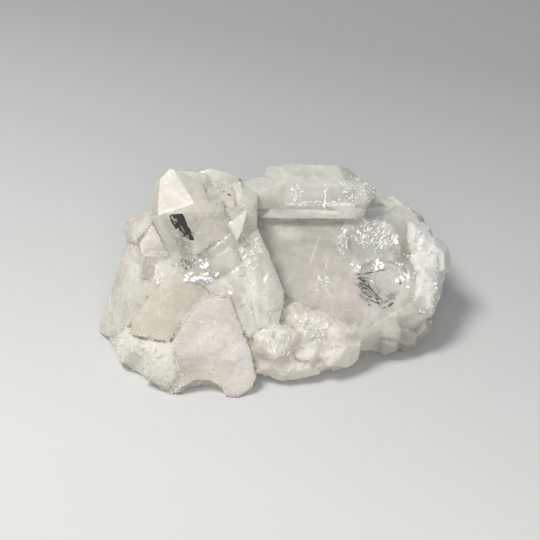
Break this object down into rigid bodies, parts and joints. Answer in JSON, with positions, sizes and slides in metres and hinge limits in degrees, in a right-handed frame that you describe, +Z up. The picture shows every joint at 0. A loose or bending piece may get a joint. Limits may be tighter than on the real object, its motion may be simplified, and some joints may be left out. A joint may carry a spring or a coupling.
{
  "type": "quartz cluster",
  "caption": "Hand-sized quartz cluster: clear and milky crystals grown together on a rough sugary base, cut flat where it rests.",
  "frame": {"origin": "on the flat resting face, below the middle of the cluster", "axes": "+Z up out of the resting face, +X to the right along the longest side, -Y the front, where the crystal faces show"},
  "size_m": [0.0913, 0.059, 0.0416],
  "materials": {
    "milky_quartz": "translucent milky to clear quartz, glassy on crystal faces and sugary on broken ones"
  },
  "bodies": {
    "root": {"quartz_cluster": "milky_quartz"}
  },
  "joints": []
}
